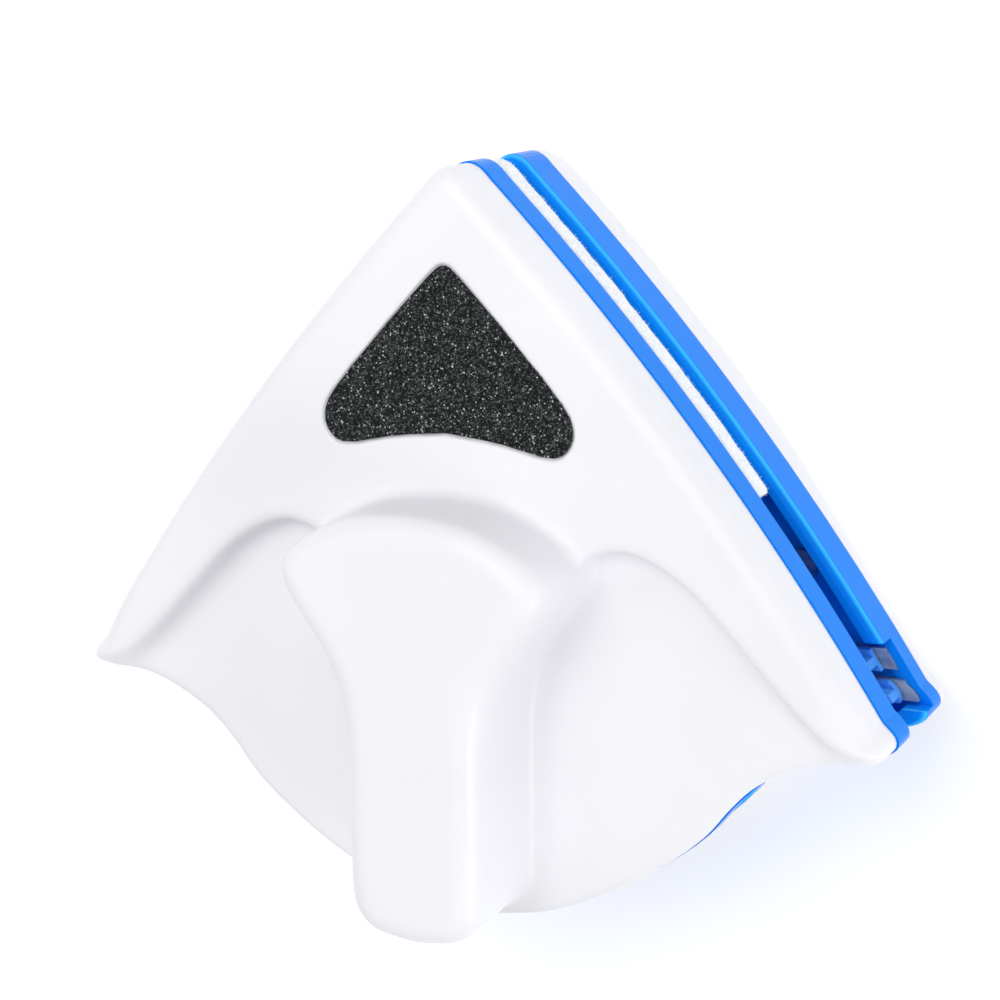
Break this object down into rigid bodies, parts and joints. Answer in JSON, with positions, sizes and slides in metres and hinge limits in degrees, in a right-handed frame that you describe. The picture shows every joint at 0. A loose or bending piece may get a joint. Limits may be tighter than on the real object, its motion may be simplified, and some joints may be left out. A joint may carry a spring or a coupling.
{
  "type": "double-sided magnetic glass cleaner",
  "caption": "Triangular glass wiper in two magnet-held halves, with a T-shaped grip, finger hollows, cloth pads and slide-out rubber wipers.",
  "frame": {"origin": "centre of the footprint, on the flat back of the outer half", "axes": "+X along the base towards the corner with the outer half's wiper gates, +Y towards the apex, +Z from the outer half through the pane to the grip"},
  "size_m": [0.1494, 0.1306, 0.0635],
  "materials": {
    "white_shell": "satin gloss moulded plastic",
    "blue_plastic": "gloss moulded plastic",
    "blade_rubber": "matt soft rubber",
    "pad_cloth": "short cotton pile",
    "hook_tape": "hook-and-loop tape",
    "sparkle_sheet": "charcoal sheet with fine silver sparkle",
    "magnet_nickel": "nickel plate",
    "yoke_steel": "zinc-plated sheet steel",
    "screw_steel": "bright zinc plate"
  },
  "bodies": {
    "outer_half": {"outer_shell": "white_shell", "outer_chassis": "blue_plastic", "outer_pad": "pad_cloth", "outer_pad_hook_tape": "hook_tape", "outer_magnet_left": "magnet_nickel", "outer_magnet_right": "magnet_nickel", "outer_magnet_base": "magnet_nickel", "outer_yoke_plate_upper": "yoke_steel", "outer_yoke_plate_base": "yoke_steel", "outer_yoke_upper_screw_upper": "screw_steel", "outer_yoke_upper_screw_lower": "screw_steel", "outer_yoke_base_screw_upper": "screw_steel", "outer_yoke_base_screw_lower": "screw_steel", "outer_case_screw_apex": "screw_steel", "outer_case_screw_left": "screw_steel", "outer_case_screw_right": "screw_steel", "outer_case_screw_base": "screw_steel"},
    "outer_upper_wiper": {"outer_blade_upper": "blade_rubber", "outer_blade_stiffener_upper": "yoke_steel"},
    "outer_lower_wiper": {"outer_blade_lower": "blade_rubber", "outer_blade_stiffener_lower": "yoke_steel"},
    "inner_half": {"inner_shell": "white_shell", "inner_chassis": "blue_plastic", "inner_pad": "pad_cloth", "inner_pad_hook_tape": "hook_tape", "inner_magnet_left": "magnet_nickel", "inner_magnet_right": "magnet_nickel", "inner_magnet_base": "magnet_nickel", "inner_yoke_plate_upper": "yoke_steel", "inner_yoke_plate_base": "yoke_steel", "inner_yoke_upper_screw_upper": "screw_steel", "inner_yoke_upper_screw_lower": "screw_steel", "inner_yoke_base_screw_upper": "screw_steel", "inner_yoke_base_screw_lower": "screw_steel", "inner_case_screw_apex": "screw_steel", "inner_case_screw_left": "screw_steel", "inner_case_screw_right": "screw_steel", "inner_case_screw_base": "screw_steel", "inner_inlay": "sparkle_sheet"},
    "inner_upper_wiper": {"inner_blade_upper": "blade_rubber", "inner_blade_stiffener_upper": "yoke_steel"},
    "inner_lower_wiper": {"inner_blade_lower": "blade_rubber", "inner_blade_stiffener_lower": "yoke_steel"}
  },
  "joints": [
    {"name": "inner_half_lift_off", "type": "slide", "parent": "outer_half", "child": "inner_half", "axis": [0, 0, 1], "range_m": [0, 0.1]},
    {"name": "outer_upper_wiper_pull_out", "type": "slide", "parent": "outer_half", "child": "outer_upper_wiper", "axis": [1, 0, 0], "range_m": [0, 0.14]},
    {"name": "outer_lower_wiper_pull_out", "type": "slide", "parent": "outer_half", "child": "outer_lower_wiper", "axis": [1, 0, 0], "range_m": [0, 0.14]},
    {"name": "inner_upper_wiper_pull_out", "type": "slide", "parent": "inner_half", "child": "inner_upper_wiper", "axis": [-1, 0, 0], "range_m": [0, 0.14]},
    {"name": "inner_lower_wiper_pull_out", "type": "slide", "parent": "inner_half", "child": "inner_lower_wiper", "axis": [-1, 0, 0], "range_m": [0, 0.14]}
  ]
}
